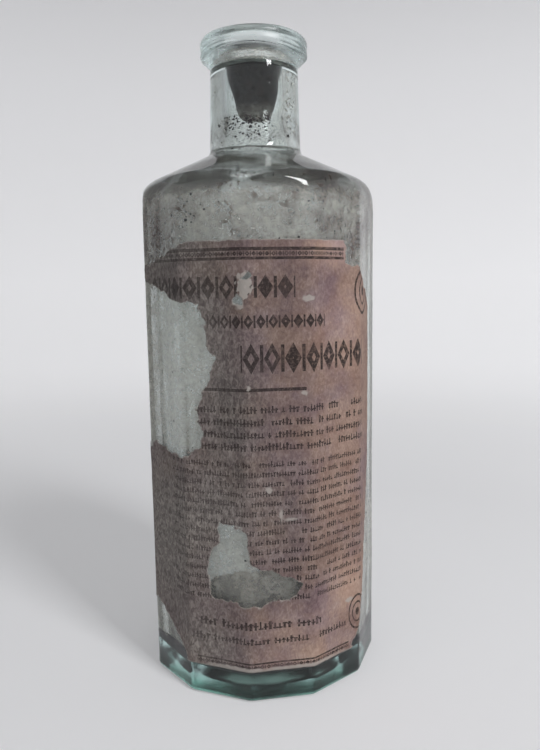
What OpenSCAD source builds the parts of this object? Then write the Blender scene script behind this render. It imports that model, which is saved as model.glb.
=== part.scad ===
// Corked medicine bottle: a twelve-sided blown glass body with an applied collar, a plain
// tapered cork pushed down into the mouth, a torn paper label and a dried crust inside.
// +Z is up. The origin is the middle of the base on the surface that the bottle stands on.
// One of the body's vertical edges points along -Y.

/* [Glass body] */
// Width of the body across its rounded vertical edges
body_w = 57.2; // [45:0.2:70]
// Number of flat panels round the body
panel_count = 12; // [8:1:16]
// Radius of the soft vertical edge between two panels
edge_r = 3; // [1:0.5:5]
// Height at which the panels start to turn in to the shoulder
panel_top = 113; // [88:1:140]
// Radius of the turn from panels to shoulder
shoulder_r = 6.4; // [5:0.2:9]
// Slope of the shoulder, in degrees from level
shoulder_slope = 24.5; // [15:0.5:40]
// Size of the flat bevel round the heel
heel_bevel = 0.8; // [0.4:0.1:1.5]
// Glass thickness in the middle of a panel
wall = 2.5; // [1.6:0.1:3.5]
// Glass thickness of the shoulder slope
shoulder_wall = 2.9; // [2:0.1:4]
// Glass thickness of the floor over the bearing ring
floor_wall = 4.4; // [3.2:0.1:6]
// Radius of the turn from the wall to the shoulder inside
inner_shoulder_r = 6.4; // [4:0.2:8]
// Radius of the turn from the wall to the floor inside
inner_heel_r = 5; // [3:0.5:8]
// Radius of the hollow under the base
push_up_r = 17; // [10:0.5:20]
// Depth of the hollow under the base
push_up_h = 2.2; // [0.5:0.1:2.6]

/* [Neck] */
// Length of the neck, from the shoulder slope to its end inside the collar
neck_len = 19.8; // [17:0.1:30]
// Outside diameter of the neck where it leaves the shoulder
neck_root_d = 22; // [20:0.1:24]
// Outside diameter of the neck under the collar
neck_top_d = 21.2; // [20:0.1:24]
// Radius of the turn from the shoulder to the neck
neck_root_r = 2.5; // [1:0.5:5]
// Bore of the neck where it grips the cork
bore_d = 13.4; // [11:0.1:16.2]
// Radial widening of the bore from its straight stretch to the neck's root
root_bore_step = 0.9; // [0.3:0.1:1.2]
// Length of the neck bore's straight stretch
bore_len = 11; // [7:0.5:14]
// Length of the widening from the straight bore to the root bore
bore_flare_len = 5.5; // [2:0.5:6]

/* [Collar] */
// Outside diameter of the collar
collar_d = 25.8; // [24.4:0.1:30]
// Height of the collar above the end of the neck
collar_h = 7; // [5.5:0.1:11]
// Height of the sloped underside of the collar
collar_under_h = 2.1; // [0.5:0.1:3]
// Radius of the collar's top outer edge
collar_edge_r = 1.1; // [0.3:0.1:1.5]
// Depth of the open mouth, down to its step onto the neck bore
mouth_depth = 5; // [3:0.1:6]
// Radial step from the neck bore out to the open mouth
mouth_step = 0.3; // [0.1:0.1:1.2]
// Radius of the mouth's rim
mouth_edge_r = 1; // [0.3:0.1:1.5]

/* [Cork] */
// Length of the cork
cork_len = 12.4; // [9:0.2:16]
// Depth of the cork's top below the top of the collar
cork_sunk = 5; // [4:0.1:6]
// Radial gap between the cork and the neck bore
cork_gap = 0.06; // [0.02:0.01:0.1]
// Length of the cork's straight upper band
cork_band = 3; // [1:0.5:5]
// Diameter of the cork's small end
cork_end_d = 9.4; // [7:0.1:11]
// Bevel round both ends of the cork
cork_bevel = 0.4; // [0.1:0.1:0.6]

/* [Label] */
// Thickness of the paper with its paste
paper = 0.2; // [0.1:0.05:0.5]
// Width of the whole sheet round the panels
label_w = 76; // [50:1:90]
// Distance of the sheet's left edge from the body's edge at -Y, round the panels
label_left = 42; // [30:1:45]
// Height of the sheet's lower edge above the surface
label_foot = 7.4; // [6:0.2:14]
// Gap between the sheet's upper edge and the top of the panels
label_head = 9.4; // [2:0.2:20]

/* [Residue] */
// Height that the dried crust climbs up the wall above the floor
residue_climb = 4.2; // [2.5:0.1:9]
// Thickness of the crust in the middle of the floor
residue_mid = 0.5; // [0.2:0.1:1.5]
// Thickness of the crust at its crest on the wall
residue_crest = 0.3; // [0.1:0.1:1]

/* [Hidden] */
$fn = 96;
// straight steps in a round of the revolved outlines, and in a vertical edge of the body
ROUND_STEPS = 8;
EDGE_STEPS = 3;
// how far a cut runs past what it cuts
REACH = 10;

turn = 360 / panel_count;
half_turn = turn / 2;
// distance from the axis to a panel, and the width of a panel between sharp corners
apothem = (body_w / 2 - edge_r) * cos(half_turn) + edge_r;
panel_w = 2 * apothem * tan(half_turn);
corner_r = apothem / cos(half_turn);

// the outer shoulder is an arc at the rim and then a straight slope to the neck
shoulder_c = [corner_r - shoulder_r, panel_top];
slope_from = on_circle(shoulder_c, shoulder_r, 90 - shoulder_slope);
neck_root_c = fillet_centre(slope_from, neck_root_d / 2, neck_root_r);

// radius and half angle of the shallow dome under the base
dome_r = (push_up_r * push_up_r + push_up_h * push_up_h) / (2 * push_up_h);
dome_a = asin(push_up_r / dome_r);

// the inner shoulder slope lies one shoulder wall under the outer one
inner_r = apothem - wall;
inner_slope_from = slope_from - [0, shoulder_wall / cos(shoulder_slope)];
inner_c_r = inner_r - inner_shoulder_r;
inner_c = [
    inner_c_r,
    slope_z(inner_slope_from, inner_c_r) - inner_shoulder_r / cos(shoulder_slope),
];

// the bore narrows from its root to the straight stretch that grips the cork
bore_r = bore_d / 2;
root_bore_r = bore_r + root_bore_step;
inner_root_c = fillet_centre(inner_slope_from, root_bore_r, neck_root_r);
neck_top = slope_z(slope_from, neck_root_d / 2) + neck_len;
bore_foot = neck_top - bore_len;
flare_foot = bore_foot - bore_flare_len;

collar_top = neck_top + collar_h;
cork_top = collar_top - cork_sunk;
cork_r = bore_r - cork_gap;

label_h = panel_top - label_head - label_foot;

// Parts torn off the sheet, each an outline in percent of the sheet's width, from its left
// edge, and of its height, from its lower edge. Points outside the sheet are past its edges.
TEARS = [
    // the left side's upper half, up to the upper left corner
    [
        [-5, 48], [0, 48.5], [9, 50.5], [16.5, 50], [20, 52.5], [29, 50.5],
        [36.5, 51], [41, 54], [41.5, 57], [40, 62], [41.5, 65], [43.5, 69],
        [46, 74], [44, 77.5], [43, 82.5], [41.5, 86], [31.5, 87], [22.5, 90],
        [16.5, 91], [17, 95], [36.5, 99.5], [37, 105], [-5, 105],
    ],
    // lower left corner
    [
        [-5, 6], [8, 8.5], [17, 12], [24, 8], [29, 5], [33, 2], [35.5, -5], [-5, -5],
    ],
    // lower right corner
    [[89.5, -5], [90.5, 1], [94.5, 5], [98, 14.5], [100.5, 25], [105, 25], [105, -5]],
    // upper right corner
    [[87.5, 105], [88.5, 95], [94.5, 94], [99, 90], [100.5, 85], [105, 85], [105, 105]],
    // the large hole
    [
        [46, 36], [55, 34.5], [55.5, 26.5], [64.5, 23.5], [72, 21], [69.5, 18],
        [56.5, 16], [43.5, 17.5], [42.5, 24], [43.5, 28], [46, 31],
    ],
    // the small hole near the top
    [[54.5, 90], [58, 92], [56, 93.5]],
];

// a point on a circle about c, by its angle from level
function on_circle(c, r, a) = c + r * [cos(a), sin(a)];

// points along a circle from angle a to angle b
function arc(c, r, a, b) =
    [for (i = [0 : ROUND_STEPS]) on_circle(c, r, a + (b - a) * i / ROUND_STEPS)];

// height of the shoulder slope through point p at radius r
function slope_z(p, r) = p.y + (p.x - r) * tan(shoulder_slope);

// centre of the round of radius r that joins the slope through p to a wall at radius wall_at
function fillet_centre(p, wall_at, r) =
    [wall_at + r, slope_z(p, wall_at + r) + r / cos(shoulder_slope)];

// the same round's points, from the slope up to the wall
function fillet(c, r) = arc(c, r, 270 - shoulder_slope, 180);

// the body's plan: flat panels with a round at each edge, grown outwards by grow
function plan(grow) = [
    for (i = [0 : panel_count - 1], j = [0 : EDGE_STEPS])
        let (
            middle = i * turn - 90,
            a = middle + (j / EDGE_STEPS - 0.5) * turn,
            c = on_circle([0, 0], body_w / 2 - edge_r, middle)
        )
        on_circle(c, edge_r + grow, a)
];

// a point on the flat panels, by its distance round them from the body's edge at -Y
function on_panels(s) =
    let (
        k = floor(s / panel_w),
        facing = (k + 0.5) * turn - 90,
        across = s - (k + 0.5) * panel_w
    )
    apothem * [cos(facing), sin(facing)] + across * [-sin(facing), cos(facing)];

// a point of the sheet's width, in percent, as a distance round the panels
function round_panels(percent) = label_w * percent / 100 - label_left;

module outer_profile() {
    polygon(concat(
        arc([0, push_up_h - dome_r], dome_r, 90, 90 - dome_a),
        [[corner_r, 0]],
        arc(shoulder_c, shoulder_r, 0, 90 - shoulder_slope),
        fillet(neck_root_c, neck_root_r),
        [[neck_top_d / 2, neck_top], [0, neck_top]]
    ));
}

module cavity_profile() {
    polygon(concat(
        [[0, floor_wall]],
        arc([inner_r - inner_heel_r, floor_wall + inner_heel_r], inner_heel_r, -90, 0),
        arc(inner_c, inner_shoulder_r, 0, 90 - shoulder_slope),
        fillet(inner_root_c, neck_root_r),
        [
            [root_bore_r, flare_foot],
            [bore_r, bore_foot],
            [bore_r, neck_top + REACH],
            [0, neck_top + REACH],
        ]
    ));
}

// one flat cut round the heel for each panel
module heel_bevels() {
    for (i = [0 : panel_count - 1])
        rotate([0, 0, (i + 0.5) * turn])
            translate([0, -apothem, heel_bevel])
                rotate([45, 0, 0])
                    translate([-panel_w, -REACH, -REACH])
                        cube([2 * panel_w, REACH, 2 * REACH]);
}

module bottle_body() {
    color("#8fa9a2", 0.5)
        difference() {
            intersection() {
                linear_extrude(neck_top)
                    polygon(plan(0));
                rotate_extrude()
                    outer_profile();
            }
            rotate_extrude()
                cavity_profile();
            heel_bevels();
        }
}

module applied_collar() {
    collar_r = collar_d / 2;
    mouth_r = bore_r + mouth_step;
    mouth_foot = collar_top - mouth_depth;
    color("#a9b6b3", 0.6)
        rotate_extrude()
            polygon(concat(
                [
                    [bore_r, neck_top],
                    [neck_top_d / 2, neck_top],
                    [collar_r, neck_top + collar_under_h],
                ],
                arc([collar_r - collar_edge_r, collar_top - collar_edge_r], collar_edge_r, 0, 90),
                arc([mouth_r + mouth_edge_r, collar_top - mouth_edge_r], mouth_edge_r, 90, 180),
                [[mouth_r, mouth_foot + mouth_step], [bore_r, mouth_foot]]
            ));
}

module cork_stopper() {
    color("#352e2e")
        rotate_extrude()
            polygon([
                [0, cork_top],
                [cork_r - cork_bevel, cork_top],
                [cork_r, cork_top - cork_bevel],
                [cork_r, cork_top - cork_band],
                [cork_end_d / 2, cork_top - cork_len + cork_bevel],
                [cork_end_d / 2 - cork_bevel, cork_top - cork_len],
                [0, cork_top - cork_len],
            ]);
}

// the space over the whole sheet, from the axis outwards
module sheet_sector() {
    translate([0, 0, label_foot])
        linear_extrude(label_h)
            polygon(concat(
                [[0, 0]],
                [for (percent = [0 : 25 : 100]) 2 * on_panels(round_panels(percent))]
            ));
}

// a cut through the paper, made level and straight towards the middle of the tear
module tear(outline) {
    across = [for (p = outline) p.x];
    middle = on_panels(round_panels((min(across) + max(across)) / 2));
    facing = atan2(middle.y, middle.x);
    sideways = [-sin(facing), cos(facing)];
    translate([0, 0, label_foot])
        rotate([0, 0, facing + 90])
            rotate([90, 0, 0])
                linear_extrude(body_w)
                    polygon([
                        for (p = outline)
                            [on_panels(round_panels(p.x)) * sideways, p.y * label_h / 100]
                    ]);
}

module paper_label() {
    color("#7a6966")
        difference() {
            intersection() {
                linear_extrude(panel_top)
                    difference() {
                        polygon(plan(paper));
                        polygon(plan(0));
                    }
                sheet_sector();
            }
            for (outline = TEARS)
                tear(outline);
        }
}

module dried_residue() {
    crest = floor_wall + residue_climb;
    color("#3b3338")
        rotate_extrude()
            intersection() {
                cavity_profile();
                polygon([
                    [0, 0],
                    [corner_r, 0],
                    [corner_r, crest],
                    [inner_r - residue_crest, crest],
                    [inner_r - inner_heel_r / 2, floor_wall + residue_climb / 3],
                    [inner_r - inner_heel_r, floor_wall + residue_mid],
                    [0, floor_wall + residue_mid],
                ]);
            }
}

bottle_body();
applied_collar();
cork_stopper();
paper_label();
dried_residue();
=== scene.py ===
"""An old twelve-sided medicine bottle in aqua glass: applied collar, cork pushed down into
the neck, torn and browned paper label, haze and dried residue inside.

Shapes are worked out in millimetres, with angles measured round the axis from -Y, and every
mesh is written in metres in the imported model's own frame.
"""

import functools
import math

import bpy
import numpy as np
from mathutils import Matrix, Vector


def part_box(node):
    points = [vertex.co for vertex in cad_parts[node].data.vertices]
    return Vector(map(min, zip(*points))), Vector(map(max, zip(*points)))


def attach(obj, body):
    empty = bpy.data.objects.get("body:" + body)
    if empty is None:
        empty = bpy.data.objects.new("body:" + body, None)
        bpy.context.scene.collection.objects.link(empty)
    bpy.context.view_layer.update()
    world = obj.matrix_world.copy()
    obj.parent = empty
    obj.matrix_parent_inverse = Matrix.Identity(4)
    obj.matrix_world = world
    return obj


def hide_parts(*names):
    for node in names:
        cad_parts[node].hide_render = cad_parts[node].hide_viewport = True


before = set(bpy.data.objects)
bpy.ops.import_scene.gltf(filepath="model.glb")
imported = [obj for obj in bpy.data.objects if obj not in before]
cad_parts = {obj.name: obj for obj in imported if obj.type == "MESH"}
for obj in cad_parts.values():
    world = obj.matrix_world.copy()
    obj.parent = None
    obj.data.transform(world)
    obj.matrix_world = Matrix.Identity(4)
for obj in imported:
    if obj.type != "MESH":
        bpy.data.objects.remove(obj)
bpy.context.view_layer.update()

MM = 0.001
TAU = 2 * math.pi


def box_mm(node):
    """A CAD node's lowest and highest corner, in millimetres."""
    return [np.array(corner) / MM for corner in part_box(node)]


# --- sizes from the frame
EDGE_REACH, _, NECK_TOP = box_mm("bottle_body")[1]
COLLAR_R, _, COLLAR_TOP = box_mm("applied_collar")[1]
CORK_R, _, CORK_TOP = box_mm("cork_stopper")[1]
CORK_FOOT = box_mm("cork_stopper")[0][2]
LABEL_FOOT, LABEL_HEAD = (corner[2] for corner in box_mm("paper_label"))
FLOOR_TOP, RESIDUE_TOP = (corner[2] for corner in box_mm("dried_residue"))

# --- glass, mm
PANELS = 12
STEP = TAU / PANELS
EDGE_R = 3.0
# a rounded edge's centre from the axis, and the angle from its middle to its end
EDGE_AT = EDGE_REACH - EDGE_R
HALF_ROUND = math.atan2(EDGE_R * math.sin(STEP / 2), EDGE_AT + EDGE_R * math.cos(STEP / 2))
APOTHEM = EDGE_AT * math.cos(STEP / 2) + EDGE_R
PANEL_W = 2 * APOTHEM * math.tan(STEP / 2)
CORNER_R = APOTHEM / math.cos(STEP / 2)
PANEL_TOP = 113.0
SHOULDER_R = 6.4
SLOPE = math.radians(24.5)
NECK_ROOT_R = 11.0
NECK_TOP_R = 10.6
ROOT_FILLET = 2.5
HEEL_R = 1.4
PUSH_UP_R = 17.0
PUSH_UP_H = 2.2
WALL = 2.5
INNER_R = APOTHEM - WALL
SHOULDER_WALL = 2.9
INNER_HEEL_R = 5.0
BORE_R = 6.7
ROOT_BORE_R = 7.6
BORE_FOOT = NECK_TOP - 11.0
FLARE_FOOT = BORE_FOOT - 5.5
MOUTH_R = 7.0
# the small rounding of the neck's end, outside and in
END_R = 0.3
# air left between two glass pieces, so that their faces don't coincide
SEAM = 0.02
# how far the dried film's two faces lie inside the glass
FILM_OUT = 0.10
FILM_IN = 0.06

# --- label, mm
# the CAD label's width, which the tears are measured in
LABEL_W = 76.0
LABEL_LEFT = -42.0
LABEL_H = LABEL_HEAD - LABEL_FOOT
# the right edge, a little further round than the CAD label's
LABEL_RIGHT = 38.2
PAPER = 0.12
PASTE = 0.03
CELL = 0.42

# Parts torn off the sheet, each an outline in percent of LABEL_W, from the left edge, and of
# LABEL_H, from the lower edge. The CAD label has the same, but for its right edge and the nick.
TEARS = [
    # the left side's upper half, up to the upper left corner
    [
        [-5, 48], [0, 48.5], [9, 50.5], [16.5, 50], [20, 52.5], [29, 50.5], [36.5, 51], [41, 54],
        [41.5, 57], [40, 62], [41.5, 65], [43.5, 69], [46, 74], [44, 77.5], [43, 82.5],
        [41.5, 86], [31.5, 87], [22.5, 90], [16.5, 91], [17, 95], [36.5, 99.5], [37, 105],
        [-5, 105],
    ],
    # lower left corner
    [[-5, 6], [8, 8.5], [17, 12], [24, 8], [29, 5], [33, 2], [35.5, -5], [-5, -5]],
    # lower right corner
    [
        [89.5, -5], [90.5, 1], [94.5, 5], [98, 14.5], [100.5, 25], [103.5, 36], [106, 47],
        [112, 47], [112, -5],
    ],
    # upper right corner
    [
        [87.5, 105], [88.5, 95], [94.5, 94], [99, 90], [103, 87.5], [107, 85], [112, 85],
        [112, 105],
    ],
    # the large hole
    [
        [46, 36], [55, 34.5], [55.5, 26.5], [64.5, 23.5], [72, 21], [69.5, 18],
        [56.5, 16], [43.5, 17.5], [42.5, 24], [43.5, 28], [46, 31],
    ],
    # the small hole near the top, and a nick under it
    [[54.5, 90], [58, 92], [56, 93.5]],
    [[53, 86], [55.4, 85.2], [55.2, 87.4], [53.8, 88.2]],
]


# --- shape helpers
def run(count, start, end):
    """Points (radius, height) on the straight line from start to just before end."""
    share = np.linspace(0, 1, count, endpoint=False)[:, None]
    return np.array(start) * (1 - share) + np.array(end) * share


def bend(count, centre, radius, from_deg, to_deg):
    """Points on a circle round centre: centre + radius (cos a, sin a), a going evenly."""
    angle = np.radians(np.linspace(from_deg, to_deg, count))
    return np.array(centre) + radius * np.column_stack([np.cos(angle), np.sin(angle)])


def slope_z(point, radius):
    """Height at a radius of the shoulder slope that goes through point."""
    return point[1] + (point[0] - radius) * math.tan(SLOPE)


def fillet_centre(point, wall_at):
    """Centre of the round between the slope through point and a neck wall at wall_at."""
    reach = wall_at + ROOT_FILLET
    return reach, slope_z(point, reach) + ROOT_FILLET / math.cos(SLOPE)


def smooth_min(a, b, soft):
    """The smaller of a and b, rounded off where they are within soft of each other."""
    overlap = np.maximum(soft - np.abs(a - b), 0) / soft
    return np.minimum(a, b) - overlap * overlap * soft / 4


def ripple(points, wavelength, seed):
    """Random waves with values mostly from -1 to 1: a sum of 24 sines, each along its own
    random direction with about one wave per wavelength."""
    draw = np.random.default_rng(seed)
    ways = draw.normal(size=(3, 24))
    ways *= TAU / wavelength / np.linalg.norm(ways, axis=0) * draw.uniform(0.6, 1.5, 24)
    return np.sin(points @ ways + draw.uniform(0, TAU, 24)).sum(-1) / math.sqrt(48)


def edge_columns():
    """Angles of the grid's columns: five over each rounded edge and thirteen on each panel."""
    over_round = np.linspace(-HALF_ROUND, HALF_ROUND, 5)
    over_panel = np.linspace(HALF_ROUND, STEP - HALF_ROUND, 15)[1:-1]
    one = np.concatenate([over_round, over_panel])
    return (one[None, :] + STEP * np.arange(PANELS)[:, None]).ravel()


COLUMNS = edge_columns()


def plan(theta):
    """Distance from the axis to the panels at an angle: apothem / cos(angle off the panel's
    middle), and on a circle of EDGE_R near each edge."""
    off_edge = np.abs((theta + STEP / 2) % STEP - STEP / 2)
    flat = APOTHEM / np.cos(STEP / 2 - off_edge)
    aside = np.minimum(EDGE_AT * np.sin(off_edge), EDGE_R)
    rounded = EDGE_AT * np.cos(off_edge) + np.sqrt(EDGE_R**2 - aside**2)
    return np.where(off_edge < HALF_ROUND, rounded, flat)


def around(theta, radius, height):
    """Points at an angle from -Y, a distance from the axis and a height."""
    theta, radius, height = np.broadcast_arrays(theta, radius, height)
    return np.stack([radius * np.sin(theta), -radius * np.cos(theta), height], -1)


def lathe(profile, theta=COLUMNS):
    """Points of a profile (radius, height) carried round the axis."""
    return around(theta, profile[:, :1], profile[:, 1:])


def profile_normals(profile):
    """Unit normals of a profile (radius, height), on the right of its direction of travel, as
    a column of each part."""
    tangent = np.gradient(profile, axis=0)
    tangent /= np.linalg.norm(tangent, axis=1, keepdims=True) + 1e-9
    return tangent[:, 1:], -tangent[:, :1]


def outer_dip(theta, points):
    """How far the outer face lies under its true shape: two scales of waves from the iron
    mould, and a shallow sink in the middle of each panel that fades out at the shoulder."""
    across = np.abs((theta + STEP / 2) % STEP - STEP / 2) / (STEP / 2)
    height = points[..., 2]
    on_panel = np.clip((height - 2) / 8, 0, 1) * np.clip((PANEL_TOP - height) / 8, 0, 1)
    waves = 0.09 + 0.05 * ripple(points, 26, 3) + 0.028 * ripple(points, 9, 4)
    return np.maximum(waves, 0) + 0.16 * on_panel * (1 - (1 - across) ** 2) * across


def outer_wall(theta, height, lift):
    """Points of the outer face on the panels, moved outwards by lift."""
    true = around(theta, plan(theta), height)
    return around(theta, plan(theta) - outer_dip(theta, true) + lift, height)


# --- mesh helpers
def make_mesh(name, points, faces, attributes=()):
    """A smooth mesh object from points in millimetres and lists of point numbers."""
    mesh = bpy.data.meshes.new(name)
    mesh.from_pydata((points * MM).tolist(), [], faces)
    mesh.polygons.foreach_set("use_smooth", np.ones(len(faces), bool))
    for label, values in dict(attributes).items():
        kind, field = ("FLOAT", "value") if values.ndim == 1 else ("FLOAT_VECTOR", "vector")
        made = mesh.attributes.new(label, kind, "POINT")
        made.data.foreach_set(field, values.astype(np.float32).ravel())
    mesh.update()
    piece = bpy.data.objects.new(name, mesh)
    bpy.context.scene.collection.objects.link(piece)
    return piece


def ring_faces(rows, columns, closed):
    """Quads between neighbouring rows of a grid whose columns close round. With closed, the
    last row joins the first."""
    row = np.arange(rows if closed else rows - 1)[:, None]
    column = np.arange(columns)[None, :]
    above = (row + 1) % rows
    beside = (column + 1) % columns
    corners = [row * columns + column, row * columns + beside]
    corners += [above * columns + beside, above * columns + column]
    return np.stack(np.broadcast_arrays(*corners), -1).reshape(-1, 4).tolist()


def turned_piece(name, grid, poles=None, attributes=()):
    """A piece from a grid of points, rows by columns round the axis: with poles, its two
    ends close at those points, and otherwise its last row joins its first."""
    rows, columns = grid.shape[:2]
    faces = ring_faces(rows, columns, poles is None)
    points = grid.reshape(-1, 3)
    if poles is not None:
        points = np.concatenate([points, np.array(poles)])
        column = np.arange(columns)
        beside = (column + 1) % columns
        start = np.full(columns, rows * columns)
        top = (rows - 1) * columns
        faces += np.column_stack([start, beside, column]).tolist()
        faces += np.column_stack([start + 1, top + column, top + beside]).tolist()
    return make_mesh(name, points, faces, attributes)


# --- glass
def outer_profile():
    """The outer face's turned profile from the base to the neck's end, as rows of radius,
    height and how far the panels are drawn in there."""
    dome_r = (PUSH_UP_R**2 + PUSH_UP_H**2) / (2 * PUSH_UP_H)
    dome_deg = math.degrees(math.asin(PUSH_UP_R / dome_r))
    slope_deg = math.degrees(SLOPE)
    rim = bend(26, (CORNER_R - SHOULDER_R, PANEL_TOP), SHOULDER_R, 0, 90 - slope_deg)
    root_c = fillet_centre(rim[-1], NECK_ROOT_R)
    root = bend(10, root_c, ROOT_FILLET, 270 - slope_deg, 180)
    dome = bend(14, (0, PUSH_UP_H - dome_r), dome_r, 90 - 0.04 * dome_deg, 90 - dome_deg)
    seat = run(8, (PUSH_UP_R + 0.6, 0), (APOTHEM - HEEL_R - 0.2, 0))
    heel_turn = np.linspace(0, math.pi / 2, 8)
    heel = np.column_stack([np.full(8, CORNER_R + 1), HEEL_R * (1 - np.cos(heel_turn))])
    wall = run(72, (CORNER_R + 1, HEEL_R + 1), (CORNER_R + 1, PANEL_TOP - 3.5))
    under_rim = run(4, (CORNER_R + 0.6, PANEL_TOP - 3), (CORNER_R, PANEL_TOP))
    slope = run(12, rim[-1], root[0])[1:]
    neck = run(20, (NECK_ROOT_R, root_c[1] + 0.8), (NECK_TOP_R, NECK_TOP - 0.4))
    end = bend(4, (NECK_TOP_R - END_R, NECK_TOP - SEAM - END_R), END_R, 0, 90)
    turned = np.concatenate([dome, seat, heel, wall, under_rim, rim, slope, root, neck, end])
    drawn_in = np.zeros(len(turned))
    heel_at = len(dome) + len(seat)
    drawn_in[:heel_at] = HEEL_R
    drawn_in[heel_at:heel_at + 8] = HEEL_R * (1 - np.sin(heel_turn))
    return turned, drawn_in


def inner_profile():
    """The cavity's turned profile from the neck's end down to the middle of the floor."""
    slope_deg = math.degrees(SLOPE)
    rim_from = bend(1, (CORNER_R - SHOULDER_R, PANEL_TOP), SHOULDER_R, 90 - slope_deg, 0)[0]
    rim_from[1] -= SHOULDER_WALL / math.cos(SLOPE)
    centre_r = INNER_R - SHOULDER_R
    centre = (centre_r, slope_z(rim_from, centre_r) - SHOULDER_R / math.cos(SLOPE))
    root = bend(9, fillet_centre(rim_from, ROOT_BORE_R), ROOT_FILLET, 180, 270 - slope_deg)
    rim = bend(16, centre, SHOULDER_R, 90 - slope_deg, 0)
    heel_c = (INNER_R - INNER_HEEL_R, FLOOR_TOP + INNER_HEEL_R)
    heel = bend(12, heel_c, INNER_HEEL_R, 0, -90)
    return np.concatenate([
        run(16, (BORE_R, NECK_TOP - END_R), (BORE_R, BORE_FOOT)),
        run(7, (BORE_R, BORE_FOOT), (ROOT_BORE_R, FLARE_FOOT)),
        run(3, (ROOT_BORE_R, FLARE_FOOT), root[0]),
        root, run(10, root[-1], rim[0])[1:],
        rim, run(70, rim[-1], heel[0])[1:],
        heel, run(10, heel[-1], (0.6, FLOOR_TOP))[1:],
    ])


def inner_grid(lift):
    """The cavity's face, moved into the cavity by lift: the turned profile plus waves, a
    little of the panels' own shape, and thicker glass towards one side."""
    profile = inner_profile()
    true = lathe(profile)
    radius, height = profile.T[..., None]
    outwards, upwards = profile_normals(profile)
    wide = np.clip((radius - 12) / 12, 0, 1)
    straight = wide * np.clip((PANEL_TOP - 6 - height) / 8, 0, 1)
    waves = (0.04 + 0.2 * wide) * ripple(true, 30, 7) + (0.02 + 0.04 * wide) * ripple(true, 10, 8)
    panels = 0.16 * straight * np.cos(PANELS * COLUMNS)
    low = np.clip((22 - height) / 14, 0, 1) * wide
    thick = 0.35 * low * (1 + 0.6 * np.cos(COLUMNS - 2.2))
    move = lift + waves - panels + thick
    return around(COLUMNS, np.maximum(radius + outwards * move, 0.3), height + upwards * move)


def bottle_glass():
    """The body: outside = smooth smaller of the panels' plan and the turned profile, less
    the dip, then over the neck's end and down the cavity to its floor. Both ends close at
    the axis."""
    profile, drawn_in = outer_profile()
    turned_r, height = profile.T[..., None]
    outwards, upwards = profile_normals(np.minimum(profile, [APOTHEM, math.inf]))
    radius = smooth_min(plan(COLUMNS) - drawn_in[:, None], turned_r, 0.7)
    dip = outer_dip(COLUMNS, around(COLUMNS, radius, height))
    dip *= np.clip(0.25 + radius / 26, 0, 1) * np.clip(height / 2, 0.3, 1)
    outside = around(
        COLUMNS, np.maximum(radius - outwards * dip, 0.3), np.maximum(height - upwards * dip, 0)
    )
    end = run(4, (NECK_TOP_R - 0.7, NECK_TOP - SEAM), (BORE_R + 0.2, NECK_TOP - SEAM))
    inside = inner_grid(0.0)
    grid = np.concatenate([outside, lathe(end), inside])
    poles = [(0, 0, outside[0, :, 2].mean()), (0, 0, inside[-1, :, 2].mean())]
    return turned_piece("bottle_glass", grid, poles)


def collar_glass():
    """The collar: a closed ring whose outline (radius, height) is neck, flare, wall, top and
    mouth. The flare starts higher at front and back, where the tool pressed less, and the
    wall and top carry the tool's ripples."""
    lap = 0.5 * (1 + np.cos(2 * COLUMNS + 0.2)) + 0.15 * np.sin(3 * COLUMNS + 1)
    flare_from = NECK_TOP + 0.25 + 1.0 * np.clip(lap, 0, 1.2)
    flare_to = flare_from + 1.9
    low_r, top_r, lip_r = 0.9, 1.5, 1.3
    foot_r = COLLAR_R - low_r
    under = NECK_TOP + SEAM
    foot = np.array([
        (BORE_R + 0.2, under), (NECK_TOP_R - 0.5, under), (NECK_TOP_R - 0.1, under + 0.15),
    ])
    share = np.linspace(0, 1, 9)[:, None]
    swell = 0.5 - 0.5 * np.cos(math.pi * share)
    flare_r = NECK_TOP_R - 0.05 + (foot_r - NECK_TOP_R) * swell
    flare = around(COLUMNS, flare_r, flare_from + (flare_to - flare_from) * share)
    wall_from = flare_to + low_r
    angle = np.linspace(-math.pi / 2, 0, 6)[:, None]
    low_round = around(COLUMNS, foot_r + low_r * np.cos(angle), wall_from + low_r * np.sin(angle))
    rise = np.linspace(0, 1, 7)[1:-1, None]
    wall = around(
        COLUMNS,
        COLLAR_R - 0.12 * np.sin(math.pi * rise),
        wall_from + (COLLAR_TOP - top_r - wall_from) * rise,
    )
    top = bend(9, (COLLAR_R - top_r, COLLAR_TOP - top_r), top_r, 0, 90)
    lip = bend(8, (MOUTH_R + lip_r, COLLAR_TOP - lip_r), lip_r, 90, 180)
    throat = run(6, (MOUTH_R, COLLAR_TOP - 1.9), (BORE_R, COLLAR_TOP - 5))
    low = run(5, (BORE_R, COLLAR_TOP - 5), (BORE_R, NECK_TOP + 0.3))
    upper = np.concatenate([top, run(4, top[-1], lip[0])[1:], lip, throat, low])
    grid = np.concatenate([lathe(foot), flare, low_round[1:], wall, lathe(upper)])
    radius = np.hypot(grid[..., 0], grid[..., 1])
    free = np.clip((grid[..., 2] - NECK_TOP - 0.4) / 1.5, 0, 1) * np.clip(radius - 7.5, 0, 1)
    dent = 0.07 * np.maximum(0.6 + ripple(grid, 11, 21), 0) * free
    grid[..., :2] *= (1 - dent / radius)[..., None]
    grid[..., 2] -= 0.6 * dent * (grid[..., 2] > COLLAR_TOP - 2)
    return turned_piece("collar_glass", grid)


# --- inside the bottle
def haze_film():
    """A dried film bonded to the cavity's wall, in the glass's very face so that the glass
    magnifies it: the cavity's face moved into the glass by FILM_OUT and, back again, by
    FILM_IN, joined at both ends, from the top of the crust to just under the neck's end."""
    outer = inner_grid(-FILM_OUT)
    inner = inner_grid(-FILM_IN)
    height = outer[:, 0, 2]
    rows = (height < NECK_TOP - 0.6) & (height > RESIDUE_TOP - 1.0)
    return turned_piece("haze_film", np.concatenate([outer[rows][::-1], inner[rows]]))


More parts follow.
